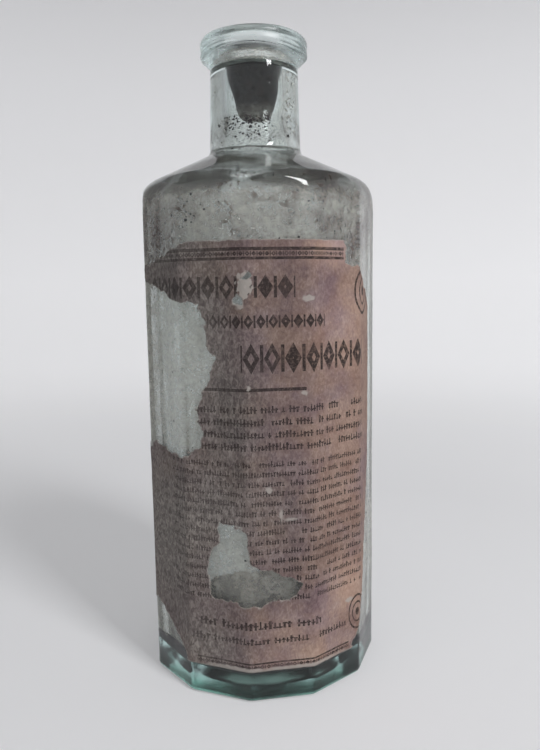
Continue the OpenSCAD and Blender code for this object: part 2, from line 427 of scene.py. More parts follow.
def mouth_haze():
    """The same film inside the collar: the throat's outline moved into the glass by FILM_OUT
    and, back again, by FILM_IN, joined at both ends."""
    bend_at = (BORE_R, COLLAR_TOP - 5)
    throat = np.concatenate([
        run(6, (BORE_R, NECK_TOP + 0.3), bend_at), run(6, bend_at, (MOUTH_R, COLLAR_TOP - 2)),
    ])
    outer = lathe(throat + [FILM_OUT, 0])
    inner = lathe(throat + [FILM_IN, 0])
    return turned_piece("mouth_haze", np.concatenate([outer, inner[::-1]]))


def residue_crust():
    """A crust over the floor and up the wall: a level distance along the floor, then round the
    heel, with a lumpy upper face and a ragged crest. It is bonded to the glass in the middle
    and on the heel, and has lifted by 0.12 in between."""
    centre_z = FLOOR_TOP + INNER_HEEL_R
    climb = 4.6 + 0.5 * ripple(around(COLUMNS, 25 + 0 * COLUMNS, 0), 9, 31)
    share = np.linspace(0.02, 1, 40)[:, None]
    flat_len = INNER_R - INNER_HEEL_R
    arc_len = INNER_HEEL_R * np.arccos(np.clip((INNER_HEEL_R - climb) / INNER_HEEL_R, -1, 1))
    travel = share * (flat_len + arc_len)
    angle = np.maximum(travel - flat_len, 0) / INNER_HEEL_R
    radius = np.minimum(travel, flat_len) + INNER_HEEL_R * np.sin(angle)
    height = centre_z - INNER_HEEL_R * np.cos(angle)
    under = around(COLUMNS, radius, height)
    thick = 0.45 + 0.3 * ripple(under, 4, 32) + 0.2 * ripple(under, 1.6, 33)
    thick = np.maximum(thick, 0.12) * np.clip((1 - share) * 10, 0, 1)
    lower_lift = 0.12 - 0.22 * np.clip((6 - radius) / 2, 0, 1)
    lower_lift -= 0.16 * np.clip(angle / 0.5, 0, 1)
    inward = np.sin(angle)
    upward = np.cos(angle)
    lower = around(COLUMNS, radius - lower_lift * inward, height + lower_lift * upward)
    lift = np.maximum(lower_lift, 0) + thick
    upper = around(COLUMNS, radius - lift * inward, height + lift * upward)
    poles = [(0, 0, FLOOR_TOP - 0.1), (0, 0, FLOOR_TOP + 0.5)]
    return turned_piece("residue_crust", np.concatenate([lower, upper[:-1][::-1]]), poles)


def cork():
    """The cork: a straight band that fits the bore, then a worn taper. Outline (radius,
    height) from the foot up, drawn in by pits that are the peaks of short waves."""
    side = np.concatenate([
        run(5, (0.6, CORK_FOOT), (3.9, CORK_FOOT)),
        run(5, (3.9, CORK_FOOT), (4.8, CORK_FOOT + 1.0)),
        run(26, (4.8, CORK_FOOT + 1.0), (CORK_R, CORK_TOP - 3)),
        run(9, (CORK_R, CORK_TOP - 3), (CORK_R, CORK_TOP - 0.4)),
        run(4, (CORK_R, CORK_TOP - 0.4), (CORK_R - 0.5, CORK_TOP)),
        run(7, (CORK_R - 0.5, CORK_TOP), (0.6, CORK_TOP - 0.3)),
    ])
    theta = np.linspace(0, TAU, 120, endpoint=False)
    grid = lathe(side, theta)
    radius, height = side.T[..., None]
    outwards, upwards = profile_normals(side)
    free = np.clip((CORK_TOP - 2.6 - height) / 2, 0.12, 1)
    pits = np.clip(ripple(grid, 2.2, 41) - 0.45, 0, 1)
    worn = np.clip(0.3 + 0.7 * ripple(grid, 7, 42), 0, 1) * 0.5
    dent = (pits + worn) * free
    grid = around(theta, np.maximum(radius - outwards * dent, 0.25), height - upwards * dent)
    poles = [(0, 0, grid[0, :, 2].mean()), (0, 0, grid[-1, :, 2].mean())]
    return turned_piece("cork", grid, poles)


def sediment_specks():
    """Crumbs stuck to the cavity's wall: small uneven octahedra, flattened along the wall's
    normal, at random places between the grid's rows. They lie in patches, thickest just under
    the shoulder and in the neck under the cork."""
    crumbs = 900
    draw = np.random.default_rng(51)
    wall = inner_grid(-0.12)
    height = wall[..., 2]
    chance = 0.05 + 1.2 * np.exp(-((height - 107) / 5.5) ** 2)
    chance += 2.6 * np.exp(-((height - 130) / 4.5) ** 2)
    chance *= np.clip(0.35 + ripple(wall, 12, 103), 0.03, 2)
    usable = (height < CORK_FOOT - 0.6) & (height > 20)
    chance = (chance * usable).ravel()
    chosen = draw.choice(chance.size, crumbs, p=chance / chance.sum())
    row, column = np.divmod(chosen, wall.shape[1])
    share = draw.random((crumbs, 1))
    centre = wall[row, column] * (1 - share) + wall[row + 1, column] * share
    size = draw.gamma(2.0, 0.075, crumbs) + 0.08
    corners = np.kron(np.eye(3), [[1], [-1]])
    spin = np.linalg.qr(draw.normal(size=(crumbs, 3, 3)))[0]
    lumps = np.einsum("nij,kj->nki", spin, corners) * draw.uniform(0.5, 1.1, (crumbs, 6, 1))
    flat = centre / np.linalg.norm(centre[:, :2], axis=1)[:, None] * [1, 1, 0]
    depth = np.einsum("nki,ni->nk", lumps, flat)
    lumps -= 0.7 * depth[..., None] * flat[:, None, :]
    points = centre[:, None, :] + lumps * size[:, None, None]
    one = np.array([
        (0, 2, 4), (2, 1, 4), (1, 3, 4), (3, 0, 4), (2, 0, 5), (1, 2, 5), (3, 1, 5), (0, 3, 5),
    ])
    turned = np.linalg.det(spin) < 0
    faces = one[None] + 6 * np.arange(crumbs)[:, None, None]
    faces[turned] = faces[turned][..., ::-1]
    return make_mesh("sediment_specks", points.reshape(-1, 3), faces.reshape(-1, 3).tolist())


# --- label
def outline_distance(s, z, outline):
    """Distance from points to an outline in percent of the sheet, negative inside it."""
    corner = np.array(outline, float)
    corner = corner * [LABEL_W / 100, LABEL_H / 100] + [LABEL_LEFT, LABEL_FOOT]
    after = np.roll(corner, -1, 0)
    side = after - corner
    at = np.stack([s, z], -1)[:, None, :] - corner
    share = np.clip((at * side).sum(-1) / (side * side).sum(-1), 0, 1)
    distance = np.linalg.norm(at - share[..., None] * side, axis=-1).min(1)
    spans = (corner[:, 1] > z[:, None]) != (after[:, 1] > z[:, None])
    crossing = corner[:, 0] + (z[:, None] - corner[:, 1]) * side[:, 0] / (side[:, 1] + 1e-9)
    inside = (spans & (s[:, None] < crossing)).sum(1) % 2 == 1
    return np.where(inside, -distance, distance)


def sheet_level(s, z):
    """Distance into the paper from its nearest edge: the smallest of the distances to the
    four cut edges and to the tears, roughened by waves of 5, 2 and 1.1 mm."""
    at = np.stack([s, z, 0 * s], -1)
    rough = 0.40 * ripple(at, 5, 61) + 0.34 * ripple(at, 2, 62) + 0.24 * ripple(at, 1.1, 63)
    cut = np.minimum(np.minimum(s - LABEL_LEFT, LABEL_RIGHT - s), z - LABEL_FOOT)
    cut = np.minimum(cut, LABEL_HEAD - z) + 0.25 * np.minimum(rough, 0)
    torn = np.min([outline_distance(s, z, tear) for tear in TEARS], axis=0)
    return np.minimum(cut, torn + rough)


def cut_triangles(faces, level):
    """Cuts triangles where level passes zero and keeps the positive side. A corner on the cut
    is a pair of points, lowest first. Returns triangles of pairs, where a whole point is
    paired with itself."""
    inside = level[faces] > 0
    count = inside.sum(1)
    kept = [np.stack([faces[count == 3]] * 2, -1)]
    for wanted, lone in ((1, True), (2, False)):
        some = faces[count == wanted]
        first = np.argmax(inside[count == wanted] == lone, axis=1)
        a, b, c = (np.take_along_axis(some, (first[:, None] + k) % 3, 1)[:, 0] for k in range(3))
        aa, bb, cc = (np.stack([p, p], -1) for p in (a, b, c))
        ab = np.sort(np.stack([a, b], -1), -1)
        ac = np.sort(np.stack([a, c], -1), -1)
        if lone:
            kept.append(np.stack([aa, ab, ac], 1))
        else:
            kept.append(np.stack([ab, bb, cc], 1))
            kept.append(np.stack([ab, cc, ac], 1))
    return np.concatenate(kept)


def label_sheet():
    """The paper: a grid in (s, z), s round the panels and z up, cut where sheet_level is zero,
    laid on the glass and given a thickness and a rim. Its free edges lift a little."""
    s_line = np.arange(LABEL_LEFT - CELL, LABEL_RIGHT + 1.5 * CELL, CELL)
    z_line = np.arange(LABEL_FOOT - CELL, LABEL_HEAD + 1.5 * CELL, CELL)
    s, z = (field.ravel() for field in np.meshgrid(s_line, z_line))
    level = sheet_level(s, z)
    level = np.where(np.abs(level) < 0.03, np.where(level > 0, 0.03, -0.03), level)
    wide = len(s_line)
    corner = (np.arange(len(z_line) - 1)[:, None] * wide + np.arange(wide - 1)).ravel()
    lower = np.column_stack([corner, corner + 1, corner + wide + 1])
    upper = np.column_stack([corner, corner + wide + 1, corner + wide])
    pairs = cut_triangles(np.concatenate([lower, upper]), level)
    keys, faces = np.unique(pairs.reshape(-1, 2), axis=0, return_inverse=True)
    faces = faces.reshape(-1, 3)
    one, two = keys.T
    apart = np.where(one == two, 1.0, level[one] - level[two])
    share = np.where(one == two, 0.0, level[one] / apart)
    s = s[one] + share * (s[two] - s[one])
    z = z[one] + share * (z[two] - z[one])
    inset = np.maximum(level[one] + share * (level[two] - level[one]), 0)
    at = np.stack([s, z, 0 * s], -1)
    for s_mid, z_mid, s_half, z_half in SCUFFS:
        far = np.hypot((s - s_mid) / s_half, (z - z_mid) / z_half) + 0.4 * ripple(at, 1.3, 67)
        inset = np.minimum(inset, np.maximum((far - 1) * min(s_half, z_half), -0.5))

    curl = 0.05 * np.clip(1 - inset / 1.2, 0, 1) ** 2 * (0.5 + 0.5 * ripple(at, 9, 64))
    wrinkle = 0.02 * ripple(at, 3.5, 65) + 0.012 * ripple(at * [1, 0.35, 1], 1.4, 66)
    lift = PASTE + np.clip(curl + wrinkle, 0, 0.06)
    panel = np.floor(s / PANEL_W)
    theta = (panel + 0.5) * STEP + np.arctan((s - (panel + 0.5) * PANEL_W) / APOTHEM)
    front = outer_wall(theta, z, lift + PAPER)
    back = outer_wall(theta, z, lift)

    edges = np.concatenate([faces[:, [0, 1]], faces[:, [1, 2]], faces[:, [2, 0]]])
    count = len(s)
    forward = edges[:, 0] * count + edges[:, 1]
    lone = ~np.isin(forward, edges[:, 1] * count + edges[:, 0])
    rim = edges[lone]
    rim_faces = np.column_stack([rim[:, 1], rim[:, 0], rim[:, 0] + count, rim[:, 1] + count])
    all_faces = faces.tolist() + (faces[:, ::-1] + count).tolist() + rim_faces.tolist()
    tone, grey = paper_tone(s, z)
    return make_mesh(
        "label_sheet",
        np.concatenate([front, back]),
        all_faces,
        {
            "sheet_mm": np.tile(at, (2, 1)),
            "tone": np.tile(tone, 2),
            "grey": np.tile(grey, 2),
            "inset_mm": np.tile(inset, 2),
        },
    )


# Scuffs where the printed face is rubbed through to pale pulp: middle (s, z) and half sizes.
SCUFFS = [
    (0.4, 94.2, 1.5, 2.5), (-0.9, 90.4, 1.0, 1.1), (14.2, 91.2, 1.2, 0.6), (0.8, 72.2, 0.4, 0.4),
    (13.0, 70.8, 0.6, 0.4), (5.0, 49.6, 0.6, 0.6), (7.6, 43.6, 0.3, 0.9), (9.6, 42.6, 0.9, 0.25),
    (-3.0, 8.0, 5.0, 0.25), (12.0, 7.9, 8.0, 0.25), (-18.0, 56.6, 2.5, 0.3),
    (26.0, 20.0, 0.8, 0.5),
]

# Soft patches that lighten or darken the paper: middle (s, z) and half sizes in mm, then
# how much paler and how much greyer the paper is there.
PATCHES = [
    (-28, 90, 16, 9, -0.30, 0.55), (-22, 102, 12, 3, -0.15, 0.70), (-8, 80, 5, 22, -0.12, 0.35),
    (6, 102, 10, 4, 0.05, 0.0), (22, 102, 7, 4, 0.55, -0.3), (25, 86, 9, 9, 0.36, -0.2),
    (24, 62, 12, 16, 0.22, 0.0), (-2, 66, 6, 14, -0.22, 0.2), (-24, 36, 16, 18, -0.04, 0.72),
    (-6, 45, 9, 9, -0.02, 0.35), (8, 44, 7, 10, -0.02, 0.2), (26, 24, 8, 7, 0.46, -0.1),
    (24, 44, 12, 10, 0.12, 0.0), (12, 17, 12, 5, 0.32, 0.0), (-10, 12, 9, 7, 0.02, 0.5),
    (14, 10, 14, 3, 0.42, 0.0),
]


def paper_tone(s, z):
    """How pale and how grey the paper is: a base value plus each patch's amount times
    exp(-(distance / half size)^2)."""
    # paler to the right and greyer to the left: partly the paper's own staining, partly painted
    # light and shade from the window on the right
    tone = 0.30 + 0.004 * s
    grey = 0.15 - 0.004 * s
    for s_mid, z_mid, s_half, z_half, paler, greyer in PATCHES:
        near = np.exp(-(((s - s_mid) / s_half) ** 2) - ((z - z_mid) / z_half) ** 2)
        tone = tone + paler * near
        grey = grey + greyer * near
    return np.clip(tone, 0, 1), np.clip(grey, 0, 1)


# --- material helpers
def linear(hex_colour):
    """An sRGB hex colour as linear RGBA: c / 12.92 up to 0.04045, and above it
    ((c + 0.055) / 1.055) to the power 2.4."""
    channel = np.array([int(hex_colour[at:at + 2], 16) for at in (1, 3, 5)]) / 255
    values = np.where(channel <= 0.04045, channel / 12.92, ((channel + 0.055) / 1.055) ** 2.4)
    return (*values.tolist(), 1.0)


def add(tree, kind, inputs=(), out=0, stops=(), **settings):
    """Adds a node with its settings and returns one of its outputs, if it has any. Inputs come
    in order, or by socket in a dictionary, each as a value or as the output that feeds it.
    Stops are the places and hex colours of a colour ramp."""
    made = tree.nodes.new("ShaderNode" + kind)
    for name, value in settings.items():
        setattr(made, name, value)
    if stops:
        elements = made.color_ramp.elements
        while len(elements) < len(stops):
            elements.new(0.5)
        for element, (place, hex_colour) in zip(elements, stops):
            element.position = place
            element.color = linear(hex_colour)
    pairs = inputs.items() if isinstance(inputs, dict) else enumerate(inputs)
    for socket, value in pairs:
        if isinstance(value, bpy.types.NodeSocket):
            tree.links.new(value, made.inputs[socket])
        else:
            made.inputs[socket].default_value = value
    return made.outputs[out] if made.outputs else None


def new_material(name):
    """An empty material, and the function that adds a node to it."""
    material = bpy.data.materials.new(name)
    material.use_nodes = True
    material.node_tree.nodes.clear()
    return material, functools.partial(add, material.node_tree)


# --- materials
def aqua_blown_glass(name, wave_seed, clean, dull):
    """Soda-lime bottle glass, blown in an iron mould and left aqua by iron in the sand. It is
    nearly clear through one wall and green through the base's depth, with a faint orange
    peel from the mould and fine rubbing scratches. Its roughness goes from clean to dull
    where handling and weather have dulled it."""
    material, node = new_material(name)
    at = node("TexCoord", out="Object")
    # chilled-mould orange peel, a millimetre or two across
    peel = node("TexNoise", {"Vector": at, "Scale": 420.0, "Detail": 2.0, "W": wave_seed},
                noise_dimensions="4D")
    # rubbing scratches: noise drawn out level, a tenth of a millimetre wide
    drawn = node("Mapping", {0: at, 3: (300.0, 300.0, 2600.0)})
    rubbed = node("TexNoise", {"Vector": drawn, "Scale": 1.0, "Detail": 4.0})
    relief = node("Math", (rubbed, 0.12, peel), operation="MULTIPLY_ADD")
    bump = node("Bump", {"Height": relief, "Strength": 0.22, "Distance": 0.00006})
    patches = node("TexNoise", {"Vector": at, "Scale": 120.0, "Detail": 4.0, "W": wave_seed},
                   noise_dimensions="4D")
    patches = node("Math", (rubbed, 0.5, patches), operation="MULTIPLY_ADD")
    dust = node("MapRange", (patches, 0.62, 0.95, clean, dull))
    # the foot that it stands on is dulled by wear
    height = node("SeparateXYZ", (at,), out="Z")
    ground = node("MapRange", (height, 0.0004, 0.0050, 0.14, 0.0))
    dust = node("Math", (dust, ground), operation="ADD")
    # the thick base shows the glass's own green
    thick = node("MapRange", (height, 0.0024, 0.0042, 1.0, 0.0))
    colour = node("Mix", {0: thick, 6: linear("#fbfffe"), 7: linear("#a9e4d2")}, out=2,
                  data_type="RGBA")
    surface = node("BsdfPrincipled", {
        "Base Color": colour, "Roughness": dust, "IOR": 1.52, "Transmission Weight": 1.0,
        "Normal": bump,
    })
    tint = node("VolumeAbsorption", {"Color": (0.05, 0.58, 0.54, 1), "Density": 12.0})
    node("OutputMaterial", {"Surface": surface, "Volume": tint})
    return material


def dried_haze():
    """Dried syrup and lime left on the inside of the glass: a thin chalky film that lets some
    light through, mottled, run down in streaks, and brown where the syrup dried last. It
    has worn off one side."""
    material, node = new_material("dried_haze_film")
    at = node("TexCoord", out="Object")
    place = node("SeparateXYZ", (at,)).node.outputs
    cloud = node("TexNoise", {"Vector": at, "Scale": 110.0, "Detail": 8.0, "Roughness": 0.7})
    mottle = node("TexNoise", {"Vector": at, "Scale": 640.0, "Detail": 5.0, "Roughness": 0.75})
    grain = node("TexNoise", {"Vector": at, "Scale": 1150.0, "Detail": 2.0})
    drawn = node("Mapping", {0: at, 3: (260.0, 260.0, 9.0)})
    runs = node("TexNoise", {"Vector": drawn, "Scale": 1.0, "Detail": 3.0})
    # the tide line at 28 mm, with clearer glass under it
    above = node("MapRange", (place[2], 0.0215, 0.0295, 0.75, 1.0))
    # thinner under the shoulder
    under = node("MapRange", (place[2], 0.1132, 0.1158, 1.0, 0.6))
    # in the neck it is thin, mostly rubbed off in front of the cork, and thick in the mouth
    aside = node("Math", (place[0],), operation="ABSOLUTE")
    rubbed = node("MapRange", (aside, 0.0050, 0.0066, 0.02, 0.60))
    beside = node("MapRange", (place[2], 0.1325, 0.1362))
    neck = node("Mix", {0: beside, 2: 0.40, 3: rubbed})
    mouth = node("MapRange", (place[2], 0.1446, 0.1456))
    neck = node("Mix", {0: mouth, 2: neck, 3: 0.6})
    level = node("VectorMath", (at, (1, 1, 0)), operation="MULTIPLY")
    radius = node("VectorMath", (level,), out="Value", operation="LENGTH")
    wide = node("MapRange", (radius, 0.0086, 0.0098))
    reach = node("Mix", {0: wide, 2: neck, 3: under})
    # worn off on the +X side, less so low down
    worn = node("MapRange", (place[0], 0.0225, 0.0245, 1.0, 0.5))
    low = node("MapRange", (place[2], 0.035, 0.065, 1.0, 0.0))
    worn = node("Math", (worn, low), operation="MAXIMUM")
    # thinner at the back, which lay uppermost while it dried
    back = node("MapRange", (place[1], -0.005, 0.010, 1.0, 0.7))
    veil = node("MapRange", (cloud, 0.35, 0.66, 0.22, 0.46))
    streak = node("MapRange", (runs, 0.4, 0.65, -0.05, 0.08))
    fine = node("MapRange", (mottle, 0.35, 0.65, -0.09, 0.09))
    for other in (streak, fine):
        veil = node("Math", (veil, other), operation="ADD")
    # brown freckles half a millimetre across, thickest in the top corners of the body
    freckle = node("MapRange", (grain, 0.54, 0.62, 0.0, 0.8))
    corner = node("MapRange", (place[2], 0.085, 0.106, 0.12, 0.8))
    spread = node("MapRange", (cloud, 0.40, 0.56, 1.0, 0.15))
    # the syrup's own pinkish brown, in clouds above the label
    stain = node("MapRange", (place[2], 0.092, 0.104))
    soaked = node("MapRange", (cloud, 0.38, 0.58, 1.0, 0.1))
    sides = node("MapRange", (aside, 0.005, 0.021, 0.45, 1.0))
    # painted shade: grey under the shoulder, for the dark room that the shoulder reflects, laid
    # on the film
    grime_and_shade = node("MapRange", (place[2], 0.1135, 0.1160, 0.0, 0.65))
    amounts = []
    for amount, shares in (
        (veil, (above, reach, worn, back)), (freckle, (spread, corner, reach)),
        (stain, (soaked, sides, wide)), (grime_and_shade, (wide,)),
    ):
        for share in shares:
            amount = node("Math", (amount, share), operation="MULTIPLY")
        amounts.append(amount)
    veil, freckle, stain, grime_and_shade = amounts
    colour = node("ValToRGB", (mottle,),
                  stops=[(0.30, "#c4b8ae"), (0.50, "#f1e8dd"), (0.70, "#fdf7ee")])
    for amount, tint in ((stain, "#7c625d"), (grime_and_shade, "#575652"), (freckle, "#4a332c")):
        colour = node("Mix", {0: amount, 6: colour, 7: linear(tint)}, out=2, data_type="RGBA")
    alpha = node("Math", (stain, 0.24, veil), operation="MULTIPLY_ADD")
    alpha = node("Math", (alpha, freckle), operation="ADD", use_clamp=True)
    surface = node("BsdfPrincipled", {
        "Base Color": colour, "Roughness": 0.8, "Alpha": alpha, "Specular IOR Level": 0.1,
    })
    node("OutputMaterial", {"Surface": surface})
    return material


def dried_syrup():
    """Herbal syrup dried to a dark purple-brown crust, dull and gritty with a slight sheen."""
    material, node = new_material("dried_syrup_crust")
    at = node("TexCoord", out="Object")
    lumps = node("TexNoise", {"Vector": at, "Scale": 500.0, "Detail": 5.0})
    colour = node("ValToRGB", (lumps,),
                  stops=[(0.3, "#16111a"), (0.55, "#281f27"), (0.75, "#453a3c")])
    bump = node("Bump", {"Height": lumps, "Strength": 0.8, "Distance": 0.0003})
    surface = node("BsdfPrincipled", {"Base Color": colour, "Roughness": 0.6, "Normal": bump})
    node("OutputMaterial", {"Surface": surface})
    return material


def syrup_black_cork():
    """Natural cork soaked dark by the syrup: almost black, with browner grain, pores and a
    waxy patch here and there."""
    material, node = new_material("syrup_black_cork")
    at = node("TexCoord", out="Object")
    grain = node("TexNoise", {"Vector": at, "Scale": 700.0, "Detail": 6.0, "Roughness": 0.7})
    pores = node("TexVoronoi", {"Vector": at, "Scale": 650.0})
    colour = node("ValToRGB", (grain,),
                  stops=[(0.32, "#0d090b"), (0.52, "#1a1115"), (0.70, "#352522")])
    dark = node("MapRange", (pores, 0.05, 0.3, 0.8, 0.0))
    colour = node("Mix", {0: dark, 6: colour, 7: linear("#110d0f")}, out=2, data_type="RGBA")
    height = node("Math", (pores, 0.6, grain), operation="MULTIPLY_ADD")
    bump = node("Bump", {"Height": height, "Strength": 0.9, "Distance": 0.0003})
    rough = node("MapRange", (grain, 0.3, 0.7, 0.35, 0.75))
    surface = node("BsdfPrincipled", {
        "Base Color": colour, "Roughness": rough, "Specular IOR Level": 0.2, "Normal": bump,
    })
    node("OutputMaterial", {"Surface": surface})
    return material


def print_cells(node, sheet, wide, high, shift, foot):
    """Cells of the sheet, wide by high, that start at a share of a cell and at a foot: the
    place inside a cell, from 0 to 1 each way, and three random numbers for each cell."""
    scale = (1 / wide, 1 / high, 0.0)
    start = (shift, -foot / high, 0.0)
    grid = node("VectorMath", (sheet, scale, start), operation="MULTIPLY_ADD")
    inside = node("VectorMath", (grid,), operation="FRACTION")
    cell = node("VectorMath", (grid,), operation="FLOOR")
    dice = node("TexWhiteNoise", {"Vector": cell}, out="Color", noise_dimensions="2D")
    return inside, node("SeparateXYZ", (dice,)).node.outputs


def clip_to(node, sheet, ink, s_from, s_to, z_from, z_to):
    """Print kept inside a rectangle of the sheet."""
    place = node("SeparateXYZ", (sheet,)).node.outputs
    s_mid, s_half = (s_from + s_to) / 2, (s_to - s_from) / 2
    z_mid, z_half = (z_from + z_to) / 2, (z_to - z_from) / 2
    across = node("Math", (place[0], s_mid, s_half), operation="COMPARE")
    up = node("Math", (place[1], z_mid, z_half), operation="COMPARE")
    both = node("Math", (across, up), operation="MULTIPLY")
    return node("Math", (ink, both), operation="MULTIPLY")


def greek_rows(node, sheet, foot, pitch, rows, mark, s_from, s_to, seed):
    """Rows of small print greeked to ticks: each cell, mark wide and pitch high, holds an
    upright of random height and width and often a level bar, and some cells stay empty as
    the gaps between words. No tick is a letter."""
    inside, chance = print_cells(node, sheet, mark, pitch, seed * 3.7, foot)
    place = node("SeparateXYZ", (inside,)).node.outputs
    tall = node("MapRange", (chance[0], 0.0, 1.0, 0.36, 0.62))
    wide = node("MapRange", (chance[1], 0.0, 1.0, 0.16, 0.30))
    upright = node("Math", (place[0], 0.42, wide), operation="COMPARE")
    under = node("Math", (place[1], tall), operation="LESS_THAN")
    upright = node("Math", (upright, under), operation="MULTIPLY")
    bar_at = node("MapRange", (chance[1], 0.0, 1.0, 0.06, 0.44))
    bar = node("Math", (place[1], bar_at, 0.055), operation="COMPARE")
    ink = node("Math", (upright, bar), operation="MAXIMUM")
    word = node("Math", (chance[2], 0.17), operation="GREATER_THAN")
    ink = node("Math", (ink, word), operation="MULTIPLY")
    return clip_to(node, sheet, ink, s_from, s_to, foot, foot + rows * pitch)


def ornament_row(node, sheet, foot, height, period, s_from, s_to):
    """A heading greeked to an ornamental row: lozenges, |x| / a + |y| / b under 1, each with a
    hollow of random size, and an upright between neighbours."""
    inside, chance = print_cells(node, sheet, period, height, -s_from / period, foot)
    centred = node("VectorMath", (inside, (0.5, 0.5, 0)), operation="SUBTRACT")
    folded = node("VectorMath", (centred,), operation="ABSOLUTE")
    place = node("SeparateXYZ", (folded,)).node.outputs
    ring = node("VectorMath", (folded, (2.5, 2.1, 0)), out="Value", operation="DOT_PRODUCT")
    hollow = node("MapRange", (chance[0], 0.0, 1.0, 0.0, 0.46))
    filled = node("Math", (ring, hollow), operation="GREATER_THAN")
    within = node("Math", (ring, 1.0), operation="LESS_THAN")
    body = node("Math", (filled, within), operation="MULTIPLY")
    upright = node("Math", (place[0], 0.42), operation="GREATER_THAN")
    short = node("Math", (place[1], 0.42), operation="LESS_THAN")
    upright = node("Math", (upright, short), operation="MULTIPLY")
    ink = node("Math", (body, upright), operation="MAXIMUM")
    return clip_to(node, sheet, ink, s_from, s_to, foot, foot + height)


def oval(node, sheet, s_mid, z_mid, s_half, z_half):
    """A generic oval ornament: two rings and a spot, by distance over half size."""
    scale = (1 / s_half, 1 / z_half, 0.0)
    shift = (-s_mid / s_half, -z_mid / z_half, 0.0)
    local = node("VectorMath", (sheet, scale, shift), operation="MULTIPLY_ADD")
    far = node("VectorMath", (local,), out="Value", operation="LENGTH")
    outer = node("Math", (far, 0.94, 0.06), operation="COMPARE")
    inner = node("Math", (far, 0.55, 0.05), operation="COMPARE")
    spot = node("Math", (far, 0.22), operation="LESS_THAN")
    rings = node("Math", (outer, inner), operation="MAXIMUM")
    return node("Math", (rings, spot), operation="MAXIMUM")


